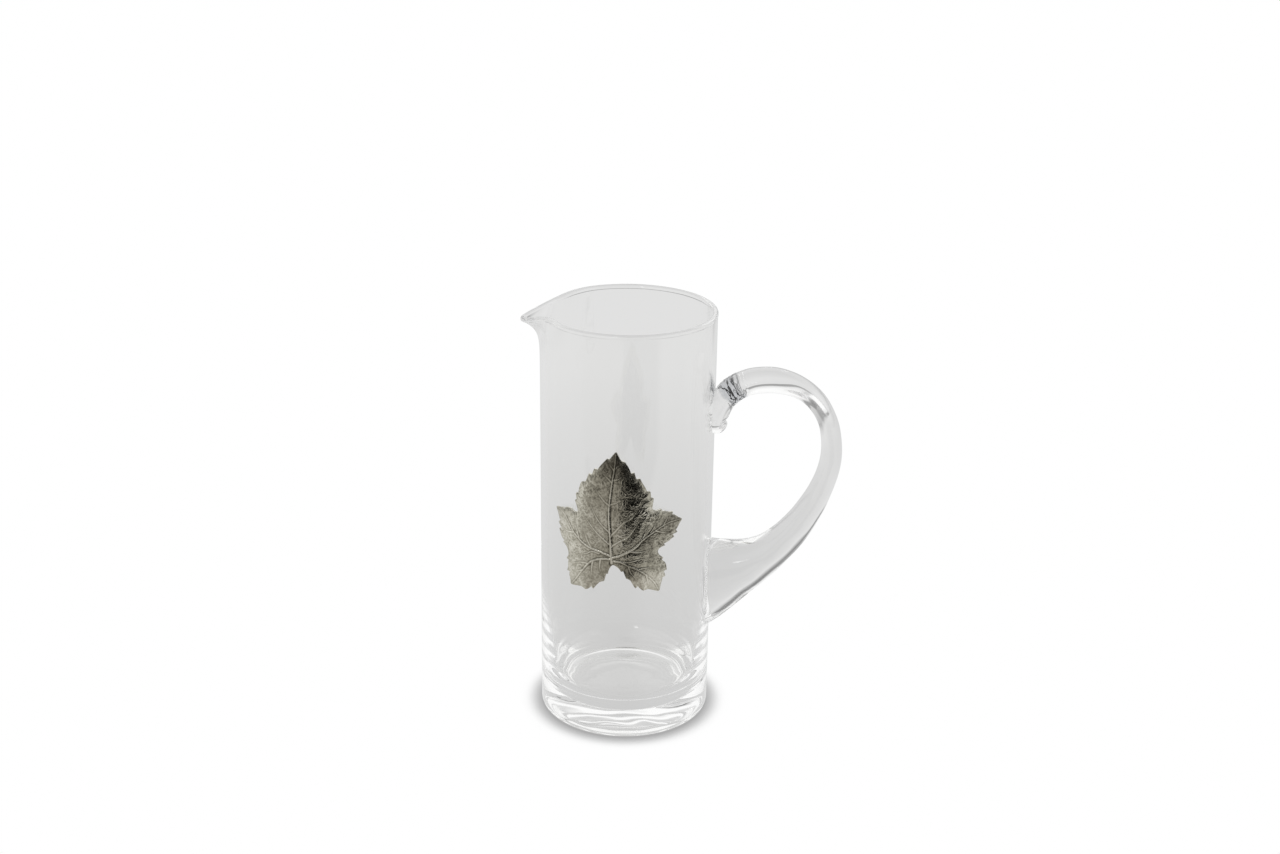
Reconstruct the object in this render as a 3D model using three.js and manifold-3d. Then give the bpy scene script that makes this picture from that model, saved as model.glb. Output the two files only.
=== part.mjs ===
// A glass carafe with a cast pewter vine leaf. A straight blown cylinder stands on a heavy base, its
// rim is drawn out into a pouring lip, a solid pulled handle is set on the opposite side, and the
// leaf is bonded to the front. Millimetres, +Z up. The origin is the centre of the base, the handle
// lies towards +X, the lip towards -X and the leaf towards -Y.
import * as THREE from 'three';
import { mergeVertices } from 'three/addons/utils/BufferGeometryUtils.js';
import Module from 'manifold-3d';

const wasm = await Module();
wasm.setup();

// Glass cylinder
const BODY_RADIUS = 45;
const BODY_HEIGHT = 222;
const WALL = 2.6;
const RIM_BEAD_RADIUS = 1.7;
const HEEL_RADIUS = 2.4;
const FLOOR_LEVEL = 10;
const FLOOR_RADIUS = 26;
const FLOOR_DISH = 0.5;
const THICK_WALL_TOP = 70;
const THICK_WALL_EXTRA = 1.8;
const FILLET_TOP = 34;
const FILLET_STEPS = 5;
const WALL_MIDDLE = 130;
const WALL_COLUMNS = 36;

// Pouring lip, drawn out of the rim and bent down. Each of the two falls from its most at the tip to
// nothing at a half angle.
const LIP_REACH = { most: 10.46, halfAngle: 26, power: 1.6 };
const LIP_DROOP = { most: 6.66, halfAngle: 38, power: 1.9 };
const LIP_TIP_ROUNDING = 0.16;
const LIP_DECAY = 4.3;
const LIP_LEVELS = [7, 4, 2.4, 1.4, 0.7, 0.2];
const LIP_SPAN = 45;
const LIP_COLUMN_STEP = 3;
const PINCH_DEPTH = 1.35;
const PINCH_ANGLE = 34;
const PINCH_SPREAD_NEAR = 8;
const PINCH_SPREAD_FAR = 13;
const PINCH_DECAY = 9;

// Pulled handle: facing points of its outer and inner edge in the plane of the handle (x, z), with
// the half width across that plane, from the gather low on the wall to the curled tail.
const JOINT_GAP = 0.3;
const HANDLE_STATIONS = [
  { outer: [37, 43.5], inner: [37, 99.5], half: 12.4 },
  { outer: [50, 52.5], inner: [47, 98.0], half: 12.0 },
  { outer: [62.5, 65], inner: [60.3, 98.2], half: 11.0 },
  { outer: [82.5, 85.7], inner: [72.1, 102.7], half: 9.9 },
  { outer: [97.7, 107.2], inner: [84.5, 115.2], half: 9.3 },
  { outer: [107.2, 130], inner: [95.3, 133.2], half: 9.0 },
  { outer: [111, 150], inner: [99.8, 151], half: 8.8 },
  { outer: [107.2, 170.3], inner: [97.2, 168.6], half: 8.8 },
  { outer: [95.2, 186.6], inner: [88.5, 178.9], half: 8.9 },
  { outer: [77, 194.4], inner: [75, 182.2], half: 9.0 },
  { outer: [60, 192.6], inner: [62.2, 179.6], half: 9.0 },
  { outer: [47.5, 185.2], inner: [55.0, 173], half: 8.8 },
  { outer: [41.8, 174], inner: [52.4, 167.2], half: 8.2 },
  { outer: [41.2, 166.2], inner: [50.9, 164.8], half: 7.6 },
  { outer: [41.6, 162.2], inner: [51.8, 162.4], half: 7.6 },
  { outer: [43, 159.4], inner: [50, 159.4], half: 5.4 },
  { outer: [46, 158.4], inner: [47, 158.3], half: 1.2 },
];
const HANDLE_STEPS_PER_STATION = 3;
const HANDLE_SIDES = 24;
const HANDLE_SQUARENESS = 2.3;

// Cast leaf, drawn flat about the point where its veins meet, then laid on the glass
const LEAF_HEART_HEIGHT = 105;
const LEAF_EDGE_THICKNESS = 1.1;
const LEAF_CROWN = 0.9;
const LEAF_ROLL = 3.5;
const LEAF_TOOTH = 1.6;
const LEAF_TOOTH_PITCH = 6.4;
const LEAF_TOOTH_SHAPE = [[0, 1], [0.16, 0], [0.6, 0.58]];
const LEAF_GRID_CENTRE = [0, 8];
const LEAF_RINGS = [1, 0.92, 0.76, 0.52, 0.26];
const BOND_RINGS = [1, 0.8, 0.6, 0.4, 0.2];
const BOND_GAP = 0.15;
const BOND_THICKNESS = 0.6;
const BOND_SHARE = 0.78;
const LEAF_BACK_RADIUS = BODY_RADIUS + BOND_THICKNESS + 3 * BOND_GAP;

// Edges of the leaf between a lobe's tip and the bay beside it, clockwise from the top tip. outward
// is true where the edge runs from a bay to a tip, and the teeth always point to the tip.
const LEAF_EDGES = [
  { outward: false, points: [[1, 57.5], [9.8, 47.2], [16.6, 38.8], [20, 31.8], [19.5, 26.6]] },
  { outward: true, points: [[19.5, 26.6], [28.2, 25], [35.9, 18.4]] },
  { outward: false, points: [[35.9, 18.4], [32.6, 11], [27.2, 6.4], [22.6, 3.4]] },
  { outward: true, points: [[22.6, 3.4], [27.4, -4.5], [26.8, -11.5], [23.6, -19.3]] },
  { outward: false, points: [[23.6, -19.3], [15.6, -18.2], [9, -15], [5.2, -8.5], [0, -3.8]] },
  { outward: true, points: [[0, -3.8], [-2.7, -9.5], [-6, -15.6], [-13, -19.4], [-22.8, -18.8]] },
  { outward: false, points: [[-22.8, -18.8], [-25.8, -9], [-24.8, -0.5]] },
  { outward: true, points: [[-24.8, -0.5], [-29.6, 6], [-31.4, 14], [-32.8, 21.5]] },
  { outward: false, points: [[-32.8, 21.5], [-24.8, 23.4], [-18.8, 22.6]] },
  { outward: true, points: [[-18.8, 22.6], [-20.4, 30], [-17, 38.8], [-10, 47.4], [1, 57.5]] },
];

// Raised veins: the five main ones run from the heart towards the lobes, and side veins branch off
// each at even steps. Points are flat positions from the heart.
const MAIN_VEINS = [
  { points: [[0, -3], [-0.6, 13], [-0.9, 29], [0.2, 42], [0.9, 54]], radius: 1.0, branches: 4 },
  { points: [[0.4, -0.4], [9.2, 4.2], [15, 9.4], [23, 14.6], [33.6, 18.2]], radius: 0.85, branches: 2 },
  { points: [[-0.4, -0.4], [-8.4, 1.8], [-16.8, 6.7], [-22.6, 12.4], [-30, 19.4]], radius: 0.85,
    branches: 2 },
  { points: [[0.4, -2], [7, -2.9], [12.5, -6], [21.2, -15.8]], radius: 0.75, branches: 1 },
  { points: [[-0.4, -2], [-8.4, -2.9], [-13.5, -6], [-20.4, -15.6]], radius: 0.75, branches: 1 },
];
const VEIN_STEPS = 7;
const VEIN_SIDES = 5;
const VEIN_TAPER = 0.62;
const VEIN_FLATNESS = 0.9;
const BRANCH_RADIUS = 0.5;
const BRANCH_STEPS = 3;
const BRANCH_ANGLE = THREE.MathUtils.degToRad(42);
const BRANCH_BOW = 0.14;
const BRANCH_FIRST = { place: 0.24, length: 0.36 };
const BRANCH_LAST = { place: 0.86, length: 0.12 };

const GLASS = { color: 0xe9edee, roughness: 0.03, metalness: 0, transparent: true, opacity: 0.35 };
const PEWTER = { color: 0x8c877c, roughness: 0.38, metalness: 1 };
const CLEAR_BOND = { color: 0xd9d8d2, roughness: 0.3, metalness: 0, transparent: true, opacity: 0.6 };

// Solid helpers

function closedLoft(rings, startPoint, endPoint) {
  // Joins rings of equal count into one closed skin, with a fan to a point at each end.
  const sides = rings[0].length;
  const points = [...rings.flat(), startPoint, endPoint];
  const start = points.length - 2;
  const end = points.length - 1;
  const index = [];
  for (let side = 0; side < sides; side += 1) {
    const next = (side + 1) % sides;
    for (let ring = 0; ring + 1 < rings.length; ring += 1) {
      const a = ring * sides + side;
      const b = ring * sides + next;
      index.push(a, b, a + sides, b, b + sides, a + sides);
    }
    const last = (rings.length - 1) * sides;
    index.push(start, next, side, end, last + side, last + next);
  }
  const geometry = new THREE.BufferGeometry().setFromPoints(points);
  geometry.setIndex(index);
  return geometry;
}

function toSolid(geometry) {
  const bare = geometry.clone();
  bare.deleteAttribute('normal');
  bare.deleteAttribute('uv');
  const merged = mergeVertices(bare, 1e-4);
  return new wasm.Manifold(new wasm.Mesh({
    numProp: 3,
    vertProperties: merged.attributes.position.array,
    triVerts: new Uint32Array(merged.index.array),
  }));
}

function toGeometry(solid) {
  const mesh = solid.getMesh();
  const geometry = new THREE.BufferGeometry();
  geometry.setAttribute('position', new THREE.BufferAttribute(mesh.vertProperties, mesh.numProp));
  geometry.setIndex(new THREE.BufferAttribute(mesh.triVerts, 1));
  return geometry;
}

function ringCentre(ring) {
  return ring.reduce((sum, point) => sum.add(point), new THREE.Vector3()).divideScalar(ring.length);
}

function rodSolid(rings) {
  return toSolid(closedLoft(rings, ringCentre(rings[0]), ringCentre(rings.at(-1))));
}

function flatSpline(points) {
  return new THREE.SplineCurve(points.map((point) => new THREE.Vector2(...point)));
}

function namedMesh(name, geometry, finish) {
  geometry.computeVertexNormals();
  const mesh = new THREE.Mesh(geometry, new THREE.MeshStandardMaterial(finish));
  mesh.name = name;
  return mesh;
}

// Glass body

function drawnOut(angle, { most, halfAngle, power }) {
  // The most at the tip of the lip and 0 at its sides, with a rounded tip.
  const slope = Math.hypot(angle / halfAngle, LIP_TIP_ROUNDING) - LIP_TIP_ROUNDING;
  const whole = Math.hypot(1, LIP_TIP_ROUNDING) - LIP_TIP_ROUNDING;
  return most * Math.max(0, 1 - slope / whole) ** power;
}

function rimEnd(angle) {
  return BODY_HEIGHT - RIM_BEAD_RADIUS - drawnOut(angle, LIP_DROOP);
}

function middleRadius(angle, z) {
  // Radius of the wall's middle: drawn out at the lip, pinched in on both sides of it.
  const below = rimEnd(angle) - z;
  const aside = Math.abs(angle) - PINCH_ANGLE;
  const spread = aside < 0 ? PINCH_SPREAD_NEAR : PINCH_SPREAD_FAR;
  const pinch = PINCH_DEPTH * Math.exp(-((aside / spread) ** 2));
  return BODY_RADIUS - WALL / 2
    + drawnOut(angle, LIP_REACH) * Math.exp(-below / LIP_DECAY)
    - pinch * Math.exp(-below / PINCH_DECAY);
}

function wallFrame(angle, z) {
  // Middle of the wall with its outward normal and its upward tangent, as (radius, height) pairs.
  const step = 0.05;
  const slope = (middleRadius(angle, z + step) - middleRadius(angle, z - step)) / (2 * step);
  const length = Math.hypot(1, slope);
  return { at: [middleRadius(angle, z), z], normal: [1 / length, -slope / length],
    tangent: [slope / length, 1 / length] };
}

function innerWallRadius(z) {
  // The wall thickens smoothly below THICK_WALL_TOP.
  const share = THREE.MathUtils.clamp((THICK_WALL_TOP - z) / (THICK_WALL_TOP - FILLET_TOP), 0, 1);
  return BODY_RADIUS - WALL - THICK_WALL_EXTRA * share ** 2;
}

function bodyProfile(angle) {
  // Half section (radius, height) at an angle from the lip, from the foot over the rim to the floor.
  const end = rimEnd(angle);
  const wall = LIP_LEVELS.map((level) => wallFrame(angle, end - level * LIP_DECAY));
  const top = wallFrame(angle, end);
  const heel = [0, 1, 2, 3].map((step) => {
    const turn = (step / 3) * (Math.PI / 2);
    return [BODY_RADIUS - HEEL_RADIUS * (1 - Math.sin(turn)), HEEL_RADIUS * (1 - Math.cos(turn))];
  });
  const offset = (frame, distance) => [frame.at[0] + frame.normal[0] * distance,
    frame.at[1] + frame.normal[1] * distance];
  const bead = [0, 1, 2, 3, 4].map((step) => {
    const turn = (step / 4) * Math.PI;
    const [across, along] = [Math.cos(turn) * RIM_BEAD_RADIUS, Math.sin(turn) * RIM_BEAD_RADIUS];
    return [top.at[0] + top.normal[0] * across + top.tangent[0] * along,
      top.at[1] + top.normal[1] * across + top.tangent[1] * along];
  });
  const fillet = Array.from({ length: FILLET_STEPS + 1 }, (_, step) => {
    const turn = (step / FILLET_STEPS) * (Math.PI / 2);
    return [FLOOR_RADIUS + (innerWallRadius(FILLET_TOP) - FLOOR_RADIUS) * Math.cos(turn),
      FILLET_TOP - (FILLET_TOP - FLOOR_LEVEL - FLOOR_DISH) * Math.sin(turn)];
  });
  return [
    ...heel,
    [BODY_RADIUS, THICK_WALL_TOP],
    [BODY_RADIUS, WALL_MIDDLE],
    ...wall.map((frame) => offset(frame, WALL / 2)),
    ...bead,
    ...wall.reverse().map((frame) => offset(frame, -WALL / 2)),
    ...[WALL_MIDDLE, THICK_WALL_TOP, (THICK_WALL_TOP + FILLET_TOP) / 2].map((z) => [innerWallRadius(z), z]),
    ...fillet,
    [FLOOR_RADIUS / 2, FLOOR_LEVEL + FLOOR_DISH / 4],
  ];
}

function bodyAngles() {
  // Angles from the lip, in degrees: close together across the lip and its pinched sides.
  const lipColumns = (2 * LIP_SPAN) / LIP_COLUMN_STEP;
  const lip = Array.from({ length: lipColumns }, (_, step) => -LIP_SPAN + LIP_COLUMN_STEP * step);
  const wallStep = (360 - 2 * LIP_SPAN) / WALL_COLUMNS;
  const wall = Array.from({ length: WALL_COLUMNS }, (_, step) => LIP_SPAN + wallStep * step);
  return [...lip, ...wall];
}

function glassBody() {
  const angles = bodyAngles();
  const profiles = angles.map((angle) => bodyProfile(angle > 180 ? angle - 360 : angle));
  const rings = profiles[0].map((_, level) => angles.map((angle, column) => {
    const [radius, z] = profiles[column][level];
    const turn = Math.PI + THREE.MathUtils.degToRad(angle);
    return new THREE.Vector3(radius * Math.cos(turn), radius * Math.sin(turn), z);
  }));
  return closedLoft(rings, new THREE.Vector3(0, 0, 0), new THREE.Vector3(0, 0, FLOOR_LEVEL));
}

// Glass handle

function railCurve(side) {
  return new THREE.CatmullRomCurve3(
    HANDLE_STATIONS.map((station) => new THREE.Vector3(station[side][0], 0, station[side][1])),
    false, 'centripetal');
}

function handleRing(outer, inner, half) {
  // A rounded section between two facing rail points, slightly squarer than an ellipse.
  const centre = outer.clone().add(inner).multiplyScalar(0.5);
  const reach = outer.clone().sub(inner).multiplyScalar(0.5);
  const power = 2 / HANDLE_SQUARENESS;
  return Array.from({ length: HANDLE_SIDES }, (_, side) => {
    const turn = (side / HANDLE_SIDES) * 2 * Math.PI;
    const along = Math.sign(Math.cos(turn)) * Math.abs(Math.cos(turn)) ** power;
    const across = Math.sign(Math.sin(turn)) * Math.abs(Math.sin(turn)) ** power;
    return centre.clone().addScaledVector(reach, along).add(new THREE.Vector3(0, half * across, 0));
  });
}

function glassHandle() {
  const outerRail = railCurve('outer');
  const innerRail = railCurve('inner');
  const widths = new THREE.CatmullRomCurve3(
    HANDLE_STATIONS.map((station, place) => new THREE.Vector3(place, station.half, 0)));
  const steps = (HANDLE_STATIONS.length - 1) * HANDLE_STEPS_PER_STATION;
  const rings = Array.from({ length: steps + 1 }, (_, step) => handleRing(
    outerRail.getPoint(step / steps), innerRail.getPoint(step / steps), widths.getPoint(step / steps).y));
  const seat = new THREE.CylinderGeometry(
    BODY_RADIUS + JOINT_GAP, BODY_RADIUS + JOINT_GAP, BODY_HEIGHT, 144).rotateX(Math.PI / 2);
  return toGeometry(rodSolid(rings).subtract(toSolid(seat.translate(0, 0, BODY_HEIGHT / 2))));
}

// Pewter leaf and its bond

function onGlass(u, v, radius) {
  // Lays a flat leaf point on a cylinder round the body's axis, centred on -Y.
  const turn = u / LEAF_BACK_RADIUS;
  return new THREE.Vector3(radius * Math.sin(turn), -radius * Math.cos(turn), LEAF_HEART_HEIGHT + v);
}

function toothedEdge({ outward, points }) {
  // Points along one edge, with saw teeth cut in from it, each steep on the side of the lobe's tip.
  const curve = flatSpline(points);
  const teeth = Math.max(2, Math.round(curve.getLength() / LEAF_TOOTH_PITCH));
  const made = [];
  for (let tooth = 0; tooth < teeth; tooth += 1) {
    for (const [phase, cut] of LEAF_TOOTH_SHAPE) {
      const share = (tooth + phase) / teeth;
      const place = outward ? 1 - share : share;
      const depth = LEAF_TOOTH * cut * Math.sqrt(Math.sin(Math.PI * share));
      const tangent = curve.getTangentAt(place);
      const inward = new THREE.Vector2(tangent.y, -tangent.x);
      made.push(curve.getPointAt(place).addScaledVector(inward, depth));
    }
  }
  if (outward) {
    made.push(curve.getPointAt(0));
    made.reverse().pop();
  }
  return made;
}

function leafOutline() {
  // The whole toothed edge, anticlockwise seen from the front.
  return LEAF_EDGES.flatMap(toothedEdge).reverse();
}

function bladeSheet(outline, shares, height) {
  // Rings of points from the outline in towards the grid's centre, at a height above the leaf's back.
  const centre = new THREE.Vector2(...LEAF_GRID_CENTRE);
  return shares.map((share) => outline.map((point) => {
    const flat = centre.clone().lerp(point, share);
    return onGlass(flat.x, flat.y, LEAF_BACK_RADIUS + height(flat));
  }));
}

function sheetSolid(outline, shares, backHeight, frontHeight) {
  const back = bladeSheet(outline, shares, backHeight).reverse();
  const front = bladeSheet(outline, shares, frontHeight);
  const centre = new THREE.Vector2(...LEAF_GRID_CENTRE);
  return closedLoft([...back, ...front],
    onGlass(centre.x, centre.y, LEAF_BACK_RADIUS + backHeight(centre)),
    onGlass(centre.x, centre.y, LEAF_BACK_RADIUS + frontHeight(centre)));
}

function leafHeight(point, outline) {
  // Thickness of the blade, rolling off towards the nearest edge.
  const inset = Math.min(...outline.map((edge) => edge.distanceTo(point)));
  return LEAF_EDGE_THICKNESS + LEAF_CROWN * (1 - Math.exp(-inset / LEAF_ROLL));
}

function veinRib(curve, radius, steps, outline) {
  // A tapering round rib, half sunk in the leaf's face.
  const rings = Array.from({ length: steps + 1 }, (_, step) => {
    const share = step / steps;
    const point = curve.getPointAt(share);
    const tangent = curve.getTangentAt(share);
    const base = LEAF_BACK_RADIUS + leafHeight(point, outline);
    const size = radius * (1 - VEIN_TAPER * share);
    return Array.from({ length: VEIN_SIDES }, (_, side) => {
      const turn = (side / VEIN_SIDES) * 2 * Math.PI;
      const across = Math.cos(turn) * size;
      return onGlass(point.x - tangent.y * across, point.y + tangent.x * across,
        base + Math.sin(turn) * size * VEIN_FLATNESS);
    });
  });
  return rodSolid(rings);
}

function sideVeins(curve, count) {
  // Slightly arched branches on both sides of a main vein, shorter towards its tip.
  const made = [];
  for (let step = 0; step < count; step += 1) {
    const share = step / count;
    const place = THREE.MathUtils.lerp(BRANCH_FIRST.place, BRANCH_LAST.place, share);
    const length = curve.getLength() * THREE.MathUtils.lerp(BRANCH_FIRST.length, BRANCH_LAST.length, share);
    const start = curve.getPointAt(place);
    const tangent = curve.getTangentAt(place);
    for (const side of [-1, 1]) {
      const way = tangent.clone().rotateAround(new THREE.Vector2(), side * BRANCH_ANGLE);
      const bend = start.clone().addScaledVector(way, length / 2);
      const end = start.clone().addScaledVector(way, length).addScaledVector(tangent, length * BRANCH_BOW);
      made.push(new THREE.QuadraticBezierCurve(start, bend, end));
    }
  }
  return made;
}

function pewterLeaf() {
  const outline = leafOutline();
  let leaf = toSolid(sheetSolid(outline, LEAF_RINGS, () => 0, (point) => leafHeight(point, outline)));
  for (const { points, radius, branches } of MAIN_VEINS) {
    const curve = flatSpline(points);
    leaf = leaf.add(veinRib(curve, radius, VEIN_STEPS, outline));
    for (const branch of sideVeins(curve, branches)) {
      leaf = leaf.add(veinRib(branch, BRANCH_RADIUS, BRANCH_STEPS, outline));
    }
  }
  return toGeometry(leaf);
}

function bondPad() {
  // A film of clear bond, cut back from the leaf's edge and without its teeth.
  const centre = new THREE.Vector2(...LEAF_GRID_CENTRE);
  const edges = LEAF_EDGES.flatMap(({ points }) => flatSpline(points).getSpacedPoints(5).slice(1));
  const outline = edges.map((point) => centre.clone().lerp(point, BOND_SHARE)).reverse();
  const inside = BODY_RADIUS + BOND_GAP - LEAF_BACK_RADIUS;
  return sheetSolid(outline, BOND_RINGS, () => inside, () => inside + BOND_THICKNESS);
}

const carafe = new THREE.Group();
carafe.name = 'glass_carafe';
carafe.add(
  namedMesh('glass_body', glassBody(), GLASS),
  namedMesh('glass_handle', glassHandle(), GLASS),
  namedMesh('pewter_leaf', pewterLeaf(), PEWTER),
  namedMesh('leaf_bond', bondPad(), CLEAR_BOND),
);

export default carafe;
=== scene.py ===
"""Looks of a glass carafe with a cast pewter vine leaf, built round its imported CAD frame.

Everything is in metres, in the CAD frame: the origin is the centre of the base, +Z is up, the
handle lies towards +X, the pouring lip towards -X and the leaf towards -Y.
"""

from __future__ import annotations

import logging
import math
from dataclasses import dataclass
from enum import Enum

import bmesh
import bpy
import numpy as np
from mathutils import Matrix, Vector, noise


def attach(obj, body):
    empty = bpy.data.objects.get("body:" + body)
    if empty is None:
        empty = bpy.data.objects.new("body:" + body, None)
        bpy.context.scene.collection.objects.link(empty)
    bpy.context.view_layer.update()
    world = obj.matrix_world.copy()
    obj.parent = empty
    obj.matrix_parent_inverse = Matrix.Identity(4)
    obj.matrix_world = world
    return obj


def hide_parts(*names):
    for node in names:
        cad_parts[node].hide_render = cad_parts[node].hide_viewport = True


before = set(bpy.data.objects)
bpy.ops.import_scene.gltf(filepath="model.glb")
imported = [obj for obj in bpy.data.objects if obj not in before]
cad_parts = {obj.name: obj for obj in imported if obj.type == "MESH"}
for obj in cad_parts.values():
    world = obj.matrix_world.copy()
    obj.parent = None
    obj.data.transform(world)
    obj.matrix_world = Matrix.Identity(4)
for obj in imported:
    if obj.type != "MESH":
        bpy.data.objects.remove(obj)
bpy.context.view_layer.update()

LOG = logging.getLogger("carafe")
MERGE_DISTANCE = 1e-6
MILLIMETRE = 0.001
SEED = 7
FINE_SHIFT = Vector((7.3, 3.1, 1.7))
GLASS_CREASE = 35.0
METAL_CREASE = 50.0
Pair = tuple[float, float]
Line = tuple[Pair, ...]
Place = tuple[float, float, float]
Colour = tuple[float, float, float]
Socket = bpy.types.NodeSocket
Piece = bpy.types.Object
Material = bpy.types.Material


class Slot(Enum):
    """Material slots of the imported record."""

    GLASS = "glass"
    PEWTER = "pewter"
    BOND = "clear_bond"


class Ray(Enum):
    """Kinds of ray that the stage tells apart, by their Light Path outputs."""

    CAMERA = "Is Camera Ray"
    THROUGH = "Is Transmission Ray"


# Curves and operators


def deselect_all() -> None:
    """Leaves nothing selected, so that the next operator acts on its own piece alone."""
    bpy.ops.object.select_all(action="DESELECT")


def activate(piece: Piece) -> None:
    """Makes one object the only selected one and the active one.

    Args:
        piece: the object that the next operators act on.
    """
    deselect_all()
    piece.select_set(True)
    bpy.context.view_layer.objects.active = piece


def mesh_points(piece: Piece) -> np.ndarray:
    """Reads a mesh's vertices.

    Args:
        piece: a mesh object.

    Returns:
        The points as rows of x, y and z.
    """
    points = np.zeros(len(piece.data.vertices) * 3)
    piece.data.vertices.foreach_get("co", points)
    return points.reshape(-1, 3)


def place_points(piece: Piece, points: np.ndarray) -> None:
    """Moves a mesh's vertices to rows of x, y and z, in the mesh's own order."""
    piece.data.vertices.foreach_set("co", points.astype(np.float32).ravel())
    piece.data.update()


def close_mesh(piece: Piece) -> None:
    """Merges a mesh's doubled points and turns its faces outwards.

    Args:
        piece: a mesh object.
    """
    activate(piece)
    bpy.ops.object.mode_set(mode="EDIT")
    bpy.ops.mesh.select_all(action="SELECT")
    bpy.ops.mesh.remove_doubles(threshold=MERGE_DISTANCE)
    bpy.ops.mesh.normals_make_consistent(inside=False)
    bpy.ops.object.mode_set(mode="OBJECT")


def shade(piece: Piece, degrees: float) -> None:
    """Shades a piece smoothly except across edges sharper than an angle."""
    activate(piece)
    bpy.ops.object.shade_smooth_by_angle(angle=math.radians(degrees))


def dress(piece: Piece, *materials: Material) -> None:
    """Gives a piece its materials, in order, in place of any it has.

    Args:
        piece: a mesh object.
        materials: the materials of its slots.
    """
    piece.data.materials.clear()
    for material in materials:
        piece.data.materials.append(material)


def settle(piece: Piece, node: str) -> None:
    """Sets a finished piece on the frame in place of a CAD node and reports it.

    Args:
        piece: the finished mesh object.
        node: the CAD node that it stands for.
    """
    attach(piece, "root")
    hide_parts(node)
    LOG.info("%s: %d faces", piece.name, len(piece.data.polygons))


def run_length(path: np.ndarray) -> np.ndarray:
    """Lengths along a path from its start to each of its points."""
    return np.concatenate([[0], np.cumsum(np.linalg.norm(np.diff(path, axis=0), axis=1))])


def hermite(
    start: np.ndarray, end: np.ndarray, leave: np.ndarray, arrive: np.ndarray, step: np.ndarray
) -> np.ndarray:
    """Runs a cubic between two points.

    Args:
        start: the first point.
        end: the last point.
        leave: the run at the first point.
        arrive: the run at the last point.
        step: shares of the way, as a column.

    Returns:
        The points at those shares.
    """
    return (
        start
        + leave * step
        + (3 * (end - start) - 2 * leave - arrive) * step**2
        + (2 * (start - end) + leave + arrive) * step**3
    )


def rail_points(stations: list[Pair], per_span: int) -> np.ndarray:
    """Runs a smooth centripetal curve through points of a plane.

    Args:
        stations: the points that the curve passes.
        per_span: how many steps it makes between two of them.

    Returns:
        The curve's points, both ends included.
    """
    points = np.array(stations)
    first = 2 * points[0] - points[1]
    last = 2 * points[-1] - points[-2]
    points = np.vstack([first, points, last])
    step = np.linspace(0, 1, per_span, endpoint=False)[:, None]
    made = []
    for p0, p1, p2, p3 in zip(points, points[1:], points[2:], points[3:]):
        d0, d1, d2 = (np.sqrt(np.linalg.norm(b - a)) for a, b in ((p0, p1), (p1, p2), (p2, p3)))
        t1 = ((p1 - p0) / d0 - (p2 - p0) / (d0 + d1) + (p2 - p1) / d1) * d1
        t2 = ((p2 - p1) / d1 - (p3 - p1) / (d1 + d2) + (p3 - p2) / d2) * d1
        made.append(hermite(p1, p2, t1, t2, step))
    return np.vstack([*made, points[-2][None]])


class FlatCurve:
    """A smooth curve through points of the leaf's flat drawing, read by its length."""

    STEPS = 40
    NEAR = 0.01

    def __init__(self, points: list[Pair]) -> None:
        """Lays the curve through its points.

        Args:
            points: the points that the curve passes, ends included.
        """
        knots = np.array([points[0], *points, points[-1]])
        step = np.linspace(0, 1, self.STEPS, endpoint=False)[:, None]
        spans = [
            hermite(p1, p2, (p2 - p0) / 2, (p3 - p1) / 2, step)
            for p0, p1, p2, p3 in zip(knots, knots[1:], knots[2:], knots[3:])
        ]
        self.path = np.vstack([*spans, knots[-1][None]])
        self.reach = run_length(self.path)

    @property
    def length(self) -> float:
        """Length of the curve."""
        return float(self.reach[-1])

    def at(self, share: np.ndarray) -> np.ndarray:
        """Points at shares of the curve's length, one row each."""
        places = np.asarray(share) * self.length
        return np.stack([np.interp(places, self.reach, self.path[:, i]) for i in (0, 1)], axis=-1)

    def way(self, share: np.ndarray) -> np.ndarray:
        """Unit directions at shares of the curve's length.

        Args:
            share: values from 0 to 1.

        Returns:
            The directions, one row each.
        """
        low = np.clip(np.asarray(share) - self.NEAR, 0, 1)
        high = np.clip(np.asarray(share) + self.NEAR, 0, 1)
        way = self.at(high) - self.at(low)
        return way / np.linalg.norm(way, axis=-1, keepdims=True)


# Finishes


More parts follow.
